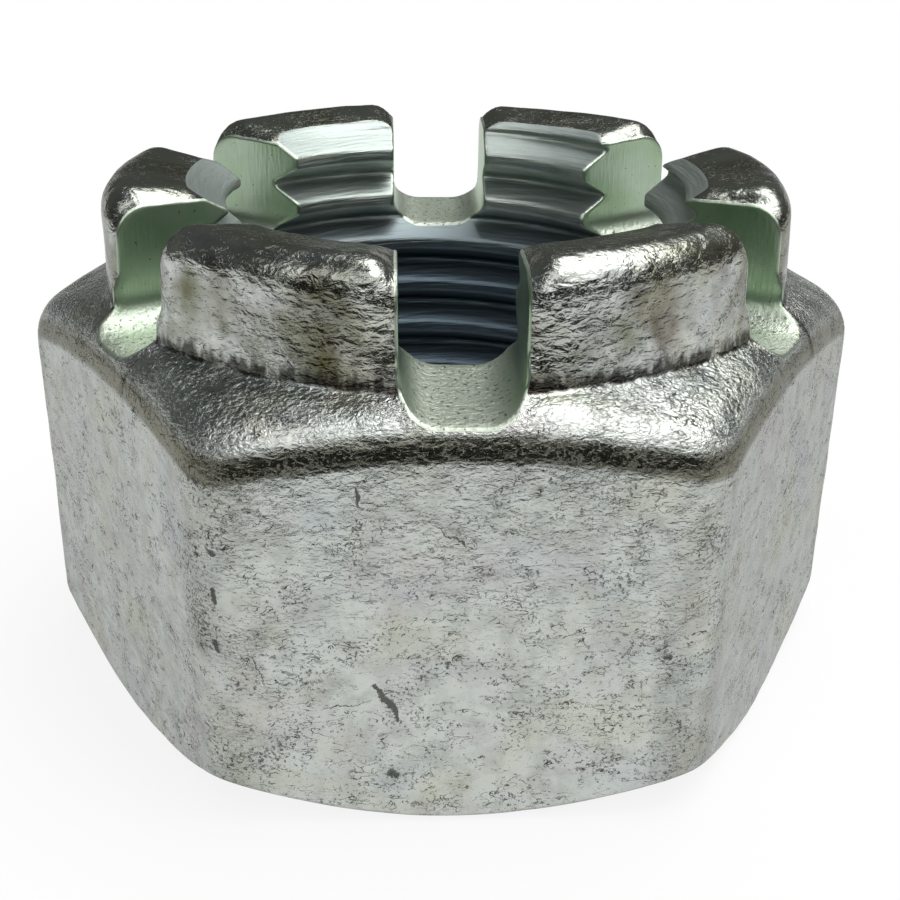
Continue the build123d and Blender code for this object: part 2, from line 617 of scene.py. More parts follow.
@dataclass(frozen=True)
class MachinedZinc:
    """Steel cut by a tool and plated in bright zinc: cleaner than the forging beside it.

    The tool's fine lines give the eye a gloss that is drawn out across them. They lie further
    apart than a tool leaves them, since finer ones would blur away.

    Attributes:
        name: The material's name.
        zinc: Colour of the clean plate.
        film: Colour of the thicker passivation film that gathers on it.
        level_film: Colour on surfaces that face up, such as the slots' floors: partly a film,
            partly painted light that lightens the slots' floors and darkens the thread's upward
            flanks.
        soil: Colour in the pits.
        roughness: Roughness of the plate.
        level_roughness: Roughness of surfaces that face up.
        deep: Colour low in the nut, painted shade that is darkest on the thread.
        line_mm: Spacing of the tool's lines.
        line_squeeze: How much closer the lines lie along X, Y and Z than they are long.
        line_depth_mm: Depth of the lines.
        crust_depth_mm: Depth of the lumpy crust on surfaces that face up.
        deep_heights: Heights in mm up to which the painted shade is full, and above which there is
            none.
        film_mm: Size of the film's patches, and so on for pits and crust.
        pit_level: Lower gives more dark pits.
        level_pits: How much lower it is on surfaces that face up.
        pit_edge: How far over that level a pit is fully dark.
    """

    name: str
    zinc: str
    film: str
    level_film: str
    soil: str = "#35352F"
    roughness: float = 0.3
    level_roughness: float = 0.3
    deep: str = "#BCC8BC"
    line_mm: float = 0.25
    line_squeeze: tuple[float, float, float] = (1.0, 1.0, 1.0)
    line_depth_mm: float = 0.01
    crust_depth_mm: float = 0.0
    deep_heights: tuple[float, float] = (24.0, 29.0)
    film_mm: float = 4.0
    pit_mm: float = 0.3
    crust_mm: float = 0.45
    pit_level: float = 0.7
    level_pits: float = 0.08
    pit_edge: float = 0.08

    def material(self) -> bpy.types.Material:
        """Build the material.

        Returns:
            The material, with its nodes.
        """
        material = bpy.data.materials.new(self.name)
        add = wiring(material)
        place = add("ShaderNodeTexCoord", output="Object")
        facing = add("ShaderNodeSeparateXYZ", add("ShaderNodeNewGeometry", output="Normal"),
                     output="Z")
        upward = add(RANGE, facing, 0.35, 0.9, 0.0, 1.0)
        stretched = add(VECTOR, place, self.line_squeeze, operation="MULTIPLY")
        lines = add(NOISE, stretched, Scale=per_metre(self.line_mm), Detail=2.0)
        film = patchy(add, place, self.film_mm, (0.3, 0.7, 0.1, 0.8), Detail=4.0)
        height = add("ShaderNodeSeparateXYZ", place, output="Z")
        # Painted shade: the colour darkens towards the bottom of the nut.
        depth = add(RANGE, height, *[z * MM for z in self.deep_heights], 1.0, 0.0)
        pit = add(NOISE, place, Scale=per_metre(self.pit_mm), Detail=2.0)
        pit = add("MULTIPLY_ADD", upward, self.level_pits, pit)
        pit = add(RANGE, pit, self.pit_level, self.pit_level + self.pit_edge, 0.0, 0.75)
        # Faces that look up take the level colour: partly a film, partly painted light.
        colour = layered(add, self.zinc, [(film, self.film), (upward, self.level_film),
                                          (depth, self.deep), (pit, self.soil)])
        crust = add(NOISE, place, Scale=per_metre(self.crust_mm), Detail=4.0, Roughness=0.6)
        crust = add("MULTIPLY", add("MULTIPLY", crust, upward), self.crust_depth_mm * MM)
        height = add("MULTIPLY_ADD", lines, self.line_depth_mm * MM, crust)
        bump = add("ShaderNodeBump", Height=height, Distance=1.0, Strength=1.0)
        rough = add(RANGE, upward, 0.0, 1.0, self.roughness, self.level_roughness)
        shader = add("ShaderNodeBsdfPrincipled", Base_Color=colour, Metallic=1.0,
                     Roughness=rough, Normal=bump)
        add("ShaderNodeOutputMaterial", shader)
        return material


# Each finish's deep colour is painted shade low in the nut; the thread's is the darkest.
FINISHES = {
    Finish.FORGED: ForgedZinc(),
    Finish.SAWN: MachinedZinc(
        "sawn_steel_bright_zinc", "#BCC8BC", "#8FAE86", "#DCE2D6", deep="#B9C2B2",
        roughness=0.36, level_roughness=0.5, line_mm=0.2, line_squeeze=(1.0, 1.0, 0.12),
        line_depth_mm=0.02, crust_depth_mm=0.12, pit_level=0.68),
    Finish.THREADED: MachinedZinc(
        "tapped_steel_bright_zinc", "#D3D8D0", "#98A8A0", "#A9B2AE", deep="#59666F",
        roughness=0.45, level_roughness=0.5, line_mm=0.2, line_squeeze=(0.06, 0.06, 1.0),
        line_depth_mm=0.08, pit_level=0.8),
    Finish.TURNED: MachinedZinc(
        "turned_steel_bright_zinc", "#C2C6C1", "#A2A9A1", "#C2C6C1", deep="#B8BDB7"),
}


# --- The nut ---


@dataclass
class CastleNut:
    """The castle nut: a hexagon with a round crown, six slots and a right-hand thread.

    Lengths are in mm and angles in degrees. The first four come from the frame.
    """

    across_flats: float
    minor_radius: float
    bore_foot: float  # the bore's plain wall, between the countersinks
    bore_top: float
    slots: int = 6

    # Hexagon
    face_inset: float = 0.6  # flats to the bearing face's edge
    face_rolled: float = 0.3
    base_angle: float = 38.0  # rise of the base chamfer
    base_rolled: float = 0.6  # soft edge between the base chamfer and the flats
    corner_rolled: float = 3.4  # vertical edges of the hexagon
    shoulder_angle: float = 23.0
    shoulder_rolled: float = 3.4
    # Crown
    crown_height: float = 6.75  # crown's root to the edge of the bore's mouth
    crown_inset: float = 2.15  # flats to the crown's root
    crown_draft: float = 1.2
    crown_rise: float = 9.0  # rise of the crown's top from the mouth to the rim
    root_rolled: float = 0.4
    rim_rolled: float = 2.0
    end_inset: float = 0.4  # the crown's wall draws in by this at the slots
    end_inset_width: float = 2.0
    end_inset_rise: float = 1.5
    end_drop: float = 0.85  # the rim drops by this at the slots
    end_drop_width: float = 1.6
    end_drop_inside: float = 0.6  # share of the drop at the bore's side
    # Slots
    slot_width: float = 7.0
    slot_depth: float = 7.95  # from the edge of the bore's mouth
    slot_rolled: float = 2.2
    edge_break: float = 0.18  # broken edge round the slots
    # Bore
    countersink_angle: float = 120.0
    pitch: float = 3.5
    root_radius: float = 16.75
    crest_share: float = 0.25  # flat crest, as a share of the pitch
    start_height: float = 2.86  # height of a crest on the +X side
    flank_angle: float = 30.0
    thread_rounding: float = 0.4  # how softly crests and roots are rounded
    thread_reach: float = 5.0  # the metal behind the thread moves with it this far
    # Forged skin
    wave_size: float = 9.0
    wave_depth: float = 0.16
    lump_size: float = 2.4
    lump_depth: float = 0.07
    seed: float = 3.0
    # Mesh steps
    prong_steps: int = 16
    floor_steps: int = 4
    floor_corner_steps: int = 8
    band_steps: int = 14  # level rows of the bore beside the slots' floors
    band_margin: float = 0.25
    rows_per_sector_climb: int = 3  # rows that the thread climbs past in one sector
    strip_steps: int = 14
    sink_steps: int = 3  # rows down the lower countersink
    settling_rounds: int = 20  # rounds in which the columns' angles settle
    rows_under_shoulder: int = 4  # rows of a flat that even out over the slot's floor
    row_evenness: float = 1.5  # higher evens them out nearer to the slot's middle

    def __post_init__(self) -> None:
        """Work out the sizes that follow from the driving ones."""
        self.half_flats = self.across_flats / 2
        self.half_sector = math.radians(180 / self.slots)
        self.half_slot = self.slot_width / 2
        self.countersink = self.bore_foot
        self.mouth_height = self.bore_top + self.countersink
        self.mouth_slope = math.tan(math.radians(self.countersink_angle / 2))
        self.mouth_radius = self.minor_radius + self.countersink * self.mouth_slope
        self.face_radius = self.half_flats - self.face_inset
        self.crown_root_radius = self.half_flats - self.crown_inset
        self.body_height = self.mouth_height - self.crown_height
        self.wall_lean = math.tan(math.radians(self.crown_draft))
        top_rise = math.tan(math.radians(self.crown_rise))
        lean_at_mouth = (self.crown_height - self.mouth_radius * top_rise) * self.wall_lean
        self.rim_radius = ((self.crown_root_radius - lean_at_mouth)
                           / (1 + top_rise * self.wall_lean))
        self.rim_height = self.mouth_height + (self.rim_radius - self.mouth_radius) * top_rise
        self.floor_height = self.mouth_height - self.slot_depth
        self.wall_foot = self.floor_height + self.slot_rolled

    def hexagon_radius(self, angle: np.ndarray) -> np.ndarray:
        """Give the rolled hexagon's radius at angles from the middle of a flat.

        Args:
            angle: Angles in radians, within half a sector either way.

        Returns:
            Distances from the axis, in mm.
        """
        flat = self.half_flats / np.cos(angle)
        centre = (self.half_flats - self.corner_rolled) / math.cos(self.half_sector)
        away = self.half_sector - np.abs(angle)
        inside = np.maximum(self.corner_rolled ** 2 - (centre * np.sin(away)) ** 2, 0)
        arc = centre * np.cos(away) + np.sqrt(inside)
        flat_end = (self.half_flats - self.corner_rolled) * math.tan(self.half_sector)
        return np.where(np.abs(np.tan(angle)) * self.half_flats > flat_end, arc, flat)

    def column_angle(self, radius: np.ndarray, lateral: np.ndarray,
                     share: np.ndarray) -> np.ndarray:
        """Give a column's angle at a radius.

        A column beside the slot runs parallel to it, and the prong's middle one is radial.

        Args:
            radius: Distances from the axis, in mm.
            lateral: Sideways distance of the column's line from the slot's middle, in mm.
            share: 0 for a column parallel to the slot, 1 for the middle of the prong.

        Returns:
            Angles in radians.
        """
        beside = np.arcsin(np.clip(lateral / radius, -1, 1))
        return beside * (1 - share) + np.sign(lateral) * self.half_sector * share

    def outer_corners(self, hexagon: np.ndarray) -> list[Corner]:
        """List the outline's corners from the bore's lower mouth up to its upper one.

        Args:
            hexagon: The hexagon's radius at each column, in mm.

        Returns:
            The corners, in order.
        """
        chamfer_top = (hexagon - self.face_radius) * math.tan(math.radians(self.base_angle))
        shoulder_foot = self.body_height - ((hexagon - self.crown_root_radius)
                                            * math.tan(math.radians(self.shoulder_angle)))
        foot_radius = (self.crown_root_radius
                       - (self.wall_foot - self.body_height) * self.wall_lean)
        return [
            Corner(self.mouth_radius, 0.0, run_steps=6),
            Corner(self.face_radius, 0.0, self.face_rolled, 2, 2),
            Corner(hexagon, chamfer_top, self.base_rolled, 5, 38),
            Corner(hexagon, shoulder_foot, self.shoulder_rolled, 8, 6),
            Corner(self.crown_root_radius, self.body_height, self.root_rolled, 3, 2),
            Corner(foot_radius, self.wall_foot, run_steps=16),
            Corner(self.rim_radius, self.rim_height, self.rim_rolled, 9, 11),
            Corner(self.mouth_radius, self.mouth_height),
        ]

    def mouth_at(self, height: np.ndarray) -> np.ndarray:
        """Give the plain bore's radius at a height, countersinks included.

        Args:
            height: Heights over the bearing face, in mm.

        Returns:
            Distances from the axis, in mm.
        """
        above = height - self.bore_top
        below = self.countersink - height
        return self.minor_radius + np.maximum(np.maximum(above, below), 0) * self.mouth_slope


class Turn(IntEnum):
    """Corners that CastleNut.outer_corners lists, by their place in its list."""

    FACE = 1
    CHAMFER = 2
    SHOULDER = 3
    ROOT = 4
    WALL_FOOT = 5
    RIM = 6


@dataclass
class Edge:
    """The prong's outline where the slot cuts it, from the wall's foot up to the mouth.

    Attributes:
        outer: Rows of (radius, height) up the crown's outside, in mm.
        inner: Rows of (radius, height) up the bore, in mm, one for each outer row.
        station: Station of each outer row.
    """

    outer: np.ndarray
    inner: np.ndarray
    station: np.ndarray


@dataclass
class Sector:
    """One sixth of the nut, from the middle of a prong to the middle of the next.

    The slot runs out along +X. The mesh has grids of columns over the turned surfaces, and a
    strip along the slot's walls and floor. Columns run from -Y to +Y, and rows from the lower
    mouth out over the bearing face, up the outside, over the crown and down the bore.
    """

    nut: CastleNut

    def __post_init__(self) -> None:
        """Start with no vertices and no faces, and set the columns' places."""
        self.places: list[np.ndarray] = []
        self.marks: list[dict[str, np.ndarray]] = []
        self.faces: list[tuple[int, ...]] = []
        self.face_finish: list[int] = []
        self.count = 0
        steps = np.linspace(0, 1, self.nut.prong_steps + 1)
        # A prong's columns lie closer together at both its ends.
        self.shares = 0.6 * steps + 0.2 * (1 - np.cos(np.pi * steps))
        self.broken_half = self.nut.half_slot + self.nut.edge_break

    def add_grid(self, radius: np.ndarray, angle: np.ndarray, height: np.ndarray,
                 marks: dict[str, Any], finish: np.ndarray) -> None:
        """Add a grid of vertices and its quads, with the share of forged skin at each vertex.

        Args:
            radius: Distances from the axis, rows x columns, in mm.
            angle: Angles from the slot's middle, in radians.
            height: Heights over the bearing face, in mm.
            marks: Point attributes, each one able to spread over rows x columns.
            finish: Finish of the quads of each row.
        """
        rows, columns = radius.shape
        grid = np.stack([radius * np.cos(angle), radius * np.sin(angle), height], axis=-1)
        marks["skin"] = np.interp(marks["station"], SKIN_STATIONS, SKIN_SHARES)
        self.places.append(grid.reshape(-1, 3))
        self.marks.append({name: np.broadcast_to(value, (rows, columns)).reshape(-1)
                           for name, value in marks.items()})
        for i in range(rows - 1):
            for j in range(columns - 1):
                a = self.count + i * columns + j
                self.faces.append((a, a + 1, a + columns + 1, a + columns))
                self.face_finish.append(int(finish[i]))
        self.count += rows * columns

    def slot_profile(self, widen: float) -> tuple[np.ndarray, np.ndarray]:
        """Give the slot's rounded floor as sideways distances and heights.

        Args:
            widen: How far outside the slot's own surface the profile lies, in mm.

        Returns:
            Sideways distances and heights, from the foot of the -Y wall to the other's.
        """
        nut = self.nut
        inner = nut.half_slot - nut.slot_rolled
        bend = np.linspace(0, np.pi / 2, nut.floor_corner_steps + 1)
        rolled = nut.slot_rolled + widen
        corner_y = inner + rolled * np.cos(bend)
        corner_z = nut.wall_foot - rolled * np.sin(bend)
        middle_y = np.linspace(-inner, inner, nut.floor_steps + 1)[1:-1]
        middle_z = np.full(len(middle_y), nut.wall_foot - rolled)
        across = np.concatenate([-corner_y, middle_y, corner_y[::-1]])
        return across, np.concatenate([corner_z, middle_z, corner_z[::-1]])

    def stations(self, outline: Outline) -> np.ndarray:
        """Number the outline's rows by surface.

        The bearing face is 0, the base chamfer 1, the flats 2, the shoulder 3, the crown's
        wall 4 and its top 5, and a rolled corner leads from one to the next.

        Args:
            outline: The rolled outline.

        Returns:
            A station for each row.
        """
        rows, values = [0], [0.0]
        rolled = (Turn.FACE, Turn.CHAMFER, Turn.SHOULDER, Turn.ROOT, Turn.RIM)
        for value, corner in enumerate(rolled):
            rows += [outline.starts[corner], outline.ends[corner]]
            values += [value, value + 1.0]
        return np.interp(np.arange(len(outline.points)), rows, values)

    def roll_ends(self, points: np.ndarray, beside: np.ndarray) -> np.ndarray:
        """Draw the crown's wall in and drop its rim where a prong ends at the slot.

        Args:
            points: Outline rows x columns x (radius, height), in mm.
            beside: Distance of each point from the slot's wall, in mm.

        Returns:
            The outline with its prongs' ends rolled.
        """
        nut = self.nut
        radius, height = points[..., 0], points[..., 1]
        inset = np.clip(1 - beside / nut.end_inset_width, 0, 1) ** 2
        inset = inset * smooth((height - nut.wall_foot) / nut.end_inset_rise)
        drop = np.clip(1 - beside / nut.end_drop_width, 0, 1) ** 2
        outward = (radius - nut.mouth_radius) / (nut.rim_radius - nut.mouth_radius)
        rim_foot = nut.rim_height - nut.rim_rolled
        rising = smooth((height - nut.wall_foot) / (rim_foot - nut.wall_foot))
        inside = nut.end_drop_inside
        drop = drop * (inside + (1 - inside) * smooth(outward * 1.5)) * rising
        rolled = np.stack([radius - nut.end_inset * inset * smooth(outward * 2),
                           height - nut.end_drop * drop], axis=-1)
        rolled[-1, :, 0] = nut.mouth_at(rolled[-1, :, 1])
        return rolled

    def bore_rows(self, top: np.ndarray, angle: np.ndarray) -> np.ndarray:
        """Give the bore's rows from the slot down, where most of them climb with the thread.

        Args:
            top: Height of the first row in each column, in mm.
            angle: Each column's angle in the bore, in radians.

        Returns:
            Rows x columns x (radius, height), in mm.
        """
        nut = self.nut
        band_foot = nut.wall_foot - nut.slot_rolled - nut.edge_break - nut.band_margin
        share = np.linspace(0, 1, nut.band_steps + 1)[:, None]
        band = top * (1 - share) + band_foot * share
        spacing = nut.pitch / nut.slots / nut.rows_per_sector_climb
        climb = nut.pitch * angle / math.tau
        half_climb = nut.pitch * (0.5 / nut.slots)  # the thread's climb in half a sector
        first = band_foot + half_climb
        count = math.ceil((first - nut.countersink + half_climb) / spacing)
        rows = first - spacing * np.arange(count + 1)[:, None] + climb
        rows = np.clip(rows, nut.countersink, band_foot)
        sink = np.linspace(nut.countersink, 0, nut.sink_steps + 1)[1:, None]
        sink = sink * np.ones(len(angle))
        heights = np.concatenate([band, rows, sink])
        return np.stack([nut.mouth_at(heights), heights], axis=-1)

    def add_prong(self, side: int) -> Edge:
        """Add half a prong, from the slot's edge to the prong's middle.

        Args:
            side: 1 for the +Y side of the slot, -1 for the other.

        Returns:
            The outline at the slot's edge.
        """
        nut = self.nut
        lateral = np.full(len(self.shares), self.broken_half)
        angle = np.zeros(len(lateral))
        for _ in range(nut.settling_rounds):
            angle = nut.column_angle(nut.hexagon_radius(angle), lateral, self.shares)
        outline = roll_outline(nut.outer_corners(nut.hexagon_radius(angle)), len(lateral))
        self.foot_row = outline.starts[Turn.WALL_FOOT]
        self.cut_row = outline.starts[Turn.SHOULDER] - nut.rows_under_shoulder
        station = self.stations(outline)
        points = outline.points
        spot = nut.column_angle(points[..., 0], lateral, self.shares)
        beside = points[..., 0] * (spot - nut.column_angle(points[..., 0], lateral, 0.0))
        outer = self.roll_ends(points, beside)
        levels = np.linspace(outer[-1, :, 1], nut.wall_foot, len(outer) - self.foot_row)
        inner = np.stack([nut.mouth_at(levels), levels], axis=-1)
        bore_angle = side * nut.column_angle(nut.minor_radius, lateral, self.shares)
        lower = self.bore_rows(np.full(len(lateral), nut.wall_foot), bore_angle)[1:]
        rows = np.concatenate([outer, inner[1:], lower])
        station = np.concatenate([station, np.full(len(rows) - len(station), CUT_STATION)])
        finish = np.where(station == CUT_STATION, Finish.THREADED, Finish.FORGED)
        finish[:outline.starts[Turn.FACE]] = Finish.TURNED
        finish[len(outer) - 1] = Finish.THREADED
        angles = nut.column_angle(rows[..., 0], lateral, self.shares)
        order = slice(None, None, side)  # columns run from -Y to +Y on both sides
        marks = {"lateral": side * self.broken_half, "slide": (1 - self.shares)[order],
                 "station": station[:, None]}
        self.add_grid(rows[:, order, 0], side * angles[:, order], rows[:, order, 1], marks,
                      finish)
        return Edge(outer[self.foot_row:, 0], inner[::-1][:, 0], station[self.foot_row:len(outer)])

    def add_slot_surrounds(self) -> tuple[np.ndarray, np.ndarray, np.ndarray]:
        """Add the columns below the slot, outside and in the bore.

        Returns:
            The outer radius at the slot's own floor, then the outer and inner radius at its
            broken edge, one for each column.
        """
        nut = self.nut
        across, top = self.slot_profile(nut.edge_break)
        own_top = self.slot_profile(0)[1]
        angle = np.arctan(across / nut.half_flats)
        outline = roll_outline(nut.outer_corners(nut.hexagon_radius(angle)), len(across))
        rows = outline.points[:self.foot_row + 1].copy()
        own_radius = np.empty(len(across))
        station = np.repeat(self.stations(outline)[:self.foot_row + 1, None], len(across), axis=1)
        for j in range(len(across)):
            part = slice(self.cut_row, self.foot_row + 1)
            radius, height = outline.points[part, j].T
            run = np.concatenate([[0.0], np.cumsum(np.hypot(np.diff(radius), np.diff(height)))])
            reach = np.interp(top[j], height, run)
            even = np.linspace(0, 1, len(run))
            evenness = ((height[-1] - top[j]) / (height[-1] - top.min())) ** nut.row_evenness
            spots = reach * (run / run[-1] * (1 - evenness) + even * evenness)
            rows[part, j, 0] = np.interp(spots, run, radius)
            rows[part, j, 1] = np.interp(spots, run, height)
            own_radius[j] = np.interp(own_top[j], height, radius)
            station[part, j] = np.interp(spots, run, station[part, j])
        finish = np.full(len(rows), Finish.FORGED)
        finish[:outline.starts[Turn.FACE]] = Finish.TURNED
        angles = np.arcsin(across / rows[..., 0])
        marks = {"lateral": across, "slide": 1.0, "station": station}
        self.add_grid(rows[..., 0], angles, rows[..., 1], marks, finish)
        bore_angle = np.arcsin(across / nut.minor_radius)
        radius, heights = np.moveaxis(self.bore_rows(top, bore_angle), -1, 0)
        marks = {"lateral": across, "slide": 1.0, "station": CUT_STATION}
        self.add_grid(radius, np.arcsin(across / radius), heights, marks,
                      np.full(len(heights), Finish.THREADED))
        return own_radius, rows[-1, :, 0], radius[0]

    def add_strip(self, edges: dict[int, Edge],
                  surrounds: tuple[np.ndarray, np.ndarray, np.ndarray]) -> None:
        """Add the slot's walls and floor, with its broken edges.

        Args:
            edges: The prong's outline at each side of the slot.
            surrounds: What add_slot_surrounds gives.
        """
        nut = self.nut
        across, top = self.slot_profile(nut.edge_break)
        own_across, own_top = self.slot_profile(0)
        own_radius, outer_radius, inner_radius = surrounds
        floor = {}
        for end, radius, own, inward in (("outer", outer_radius, own_radius, -1),
                                         ("inner", inner_radius, nut.minor_radius, 1)):
            x = np.sqrt(own ** 2 - own_across ** 2)
            floor[end] = (np.sqrt(radius ** 2 - across ** 2), across, top)
            floor[end + "_corner"] = (x, own_across, own_top)
            floor[end + "_broken"] = (x + inward * nut.edge_break, own_across, own_top)
        walls = {side: self.wall_lines(edge, side) for side, edge in edges.items()}
        lines = {}
        for name, values in floor.items():
            line = np.stack(values, axis=-1)
            lines[name] = np.concatenate([walls[-1][name][:0:-1], line, walls[1][name][1:]])
        shares = np.linspace(0, 1, nut.strip_steps + 1)[:, None, None]
        middle = lines["outer_broken"] * (1 - shares) + lines["inner_broken"] * shares
        bends = {end: (lines[end] + 2 * lines[end + "_corner"] + lines[end + "_broken"]) / 4
                 for end in ("outer", "inner")}
        grid = np.concatenate([lines["outer"][None], bends["outer"][None], middle,
                               bends["inner"][None], lines["inner"][None]])
        radius = np.hypot(grid[..., 0], grid[..., 1])
        edge_station = np.concatenate([edges[-1].station[:0:-1], np.full(len(across), 3.0),
                                       edges[1].station[1:]])
        station = np.full(radius.shape, CUT_STATION)
        station[0] = edge_station
        marks = {"lateral": grid[..., 1], "slide": 1.0, "station": station}
        self.add_grid(radius, np.arctan2(grid[..., 1], grid[..., 0]), grid[..., 2], marks,
                      np.full(len(grid), Finish.SAWN))

    def wall_lines(self, edge: Edge, side: int) -> dict[str, np.ndarray]:
        """Give the lines that bound a slot wall, from its foot up to the mouth.

        Args:
            edge: The prong's outline at the slot's edge.
            side: 1 for the +Y wall, -1 for the other.

        Returns:
            Points (x, y, z) by name: on the prong, at the sharp corner and inside the wall.
        """
        nut = self.nut
        loop = np.concatenate([edge.outer, edge.inner[-2::-1]])
        run = np.gradient(loop, axis=0)
        run = run / np.linalg.norm(run, axis=1, keepdims=True)
        normal = np.stack([run[:, 1], -run[:, 0]], axis=1)
        count = len(edge.outer)
        lines = {}
        for name, rows, facing in (("outer", edge.outer, normal[:count]),
                                   ("inner", edge.inner, normal[:count - 2:-1])):
            for part, half, inset in (("", self.broken_half, 0.0),
                                      ("_corner", nut.half_slot, 0.0),
                                      ("_broken", nut.half_slot, nut.edge_break)):
                away = np.sqrt(rows[:, 0] ** 2 - half ** 2) - inset * facing[:, 0]
                lines[name + part] = np.stack([away, np.full(count, side * half),
                                               rows[:, 1] - inset * facing[:, 1]], axis=-1)
        return lines

    def build(self) -> bpy.types.Mesh:
        """Build the sector's mesh, with its attributes.

        Returns:
            The mesh, in metres.
        """
        edges = {side: self.add_prong(side) for side in (-1, 1)}
        self.add_strip(edges, self.add_slot_surrounds())
        mesh = bpy.data.meshes.new("sector")
        places = np.concatenate(self.places) * MM
        mesh.from_pydata(places.tolist(), [], self.faces)
        for name in self.marks[0]:
            values = np.concatenate([m[name] for m in self.marks]).astype(np.float32)
            mesh.attributes.new(name, "FLOAT", "POINT").data.foreach_set("value", values)
        finish = np.array(self.face_finish, np.int32)
        mesh.attributes.new("finish", "INT", "FACE").data.foreach_set("value", finish)
        return mesh


# --- Repeating, tapping and forging with Geometry Nodes ---


@dataclass
class NutTree:
    """The node tree that turns one sector into the whole nut.

    It repeats the sector round the axis, cuts the right-hand thread along the columns, and
    roughens the forged skin. Its inputs are the sizes, in metres.
    """

    nut: CastleNut
    materials: dict[Finish, bpy.types.Material]

    def sizes(self) -> dict[str, float]:
        """Give the tree's inputs by name: lengths in metres and plain numbers.

        Returns:
            A value for each input, whole for a number of pieces.
        """
        nut = self.nut
        lengths = {
            "Pitch": nut.pitch, "Minor radius": nut.minor_radius,
            "Thread depth": nut.root_radius - nut.minor_radius,
            "Crest half width": nut.pitch * nut.crest_share / 2,
            "Start height": nut.start_height, "Height": nut.mouth_height,
            "Countersink": nut.countersink, "Thread reach": nut.thread_reach,
            "Thread rounding": nut.thread_rounding, "Wave size": nut.wave_size,
            "Wave depth": nut.wave_depth, "Lump size": nut.lump_size,
            "Lump depth": nut.lump_depth,
        }
        return {name: length * MM for name, length in lengths.items()} | {
            "Slots": nut.slots, "Mouth slope": nut.mouth_slope, "Seed": nut.seed,
            "Flank slope": 1 / math.tan(math.radians(nut.flank_angle))}

    def build(self) -> bpy.types.GeometryNodeTree:
        """Build the tree with its named inputs.

        Returns:
            The tree.
        """
        tree = bpy.data.node_groups.new("castle_nut", "GeometryNodeTree")
        face = tree.interface
        for way in ("INPUT", "OUTPUT"):
            face.new_socket("Geometry", in_out=way, socket_type="NodeSocketGeometry")
        for name, value in self.sizes().items():
            kind = "NodeSocketInt" if isinstance(value, int) else "NodeSocketFloat"
            face.new_socket(name, in_out="INPUT", socket_type=kind).default_value = value
        self.add = Wiring(tree).add
        self.inputs = self.add("NodeGroupInput").node.outputs
        geometry = self.forge(self.tap(self.repeat(self.inputs["Geometry"])))
        for kind in ("GeometryNodeSetShadeSmooth", "GeometryNodeRealizeInstances"):
            geometry = self.add(kind, geometry)
        finish = self.read("finish", "INT")
        for kind, material in self.materials.items():
            chosen = self.add("FunctionNodeCompare", None, None, finish, int(kind),
                              data_type="INT", operation="EQUAL")
            geometry = self.add("GeometryNodeSetMaterial", geometry, chosen, material)
        self.add("NodeGroupOutput", geometry)
        return tree

    def read(self, name: str, kind: str = "FLOAT") -> Socket:
        """Read one of the mesh's own attributes."""
        return self.add("GeometryNodeInputNamedAttribute", name, data_type=kind,
                        output="Attribute")

    def repeat(self, sector: Socket) -> Socket:
        """Repeat the sector round the axis and weld the copies.

        Args:
            sector: The sector's geometry.

        Returns:
            The whole ring, as one mesh.
        """
        add = self.add
        points = add("GeometryNodePoints", self.inputs["Slots"])
        step = add("DIVIDE", math.tau, self.inputs["Slots"])
        turn = add("MULTIPLY", add("ADD", add("GeometryNodeInputIndex"), 0.5), step)
        rotation = add("ShaderNodeCombineXYZ", 0.0, 0.0, turn)
        copies = add("GeometryNodeInstanceOnPoints", points, Instance=sector, Rotation=rotation)
        whole = add("GeometryNodeRealizeInstances", copies)
        return add("GeometryNodeMergeByDistance", whole, Distance=WELD_MM * MM)

    def mouth_at(self, height: Socket) -> Socket:
        """Give the plain bore's radius at a height, countersinks included.

        Args:
            height: Height over the bearing face.

        Returns:
            Distance from the axis.
        """
        add = self.add
        sink, slope, radius = (self.inputs[name]
                               for name in ("Countersink", "Mouth slope", "Minor radius"))
        above = add("SUBTRACT", height, add("SUBTRACT", self.inputs["Height"], sink))
        past = add("MAXIMUM", add("MAXIMUM", above, add("SUBTRACT", sink, height)), 0.0)
        return add("MULTIPLY_ADD", past, slope, radius)

    def thread_depth(self, height: Socket, angle: Socket) -> Socket:
        """Give the thread's depth under its crests, at a height and an angle.

        Args:
            height: Height over the bearing face.
            angle: Angle round the axis, from +X.

        Returns:
            The depth, measured outwards from the crests.
        """
        add = self.add
        start, pitch, crest, slope, deepest, rounding = (self.inputs[name] for name in (
            "Start height", "Pitch", "Crest half width", "Flank slope", "Thread depth",
            "Thread rounding"))
        climb = add("DIVIDE", add("SUBTRACT", height, start), pitch)
        turns = add("DIVIDE", angle, math.tau)
        phase = add("WRAP", add("SUBTRACT", climb, turns), 0.5, -0.5)
        off_crest = add("MULTIPLY", add("ABSOLUTE", phase), pitch)
        flank = add("MULTIPLY", add("SUBTRACT", off_crest, crest), slope)
        return add("SMOOTH_MAX", add("SMOOTH_MIN", flank, deepest, rounding), 0.0, rounding)

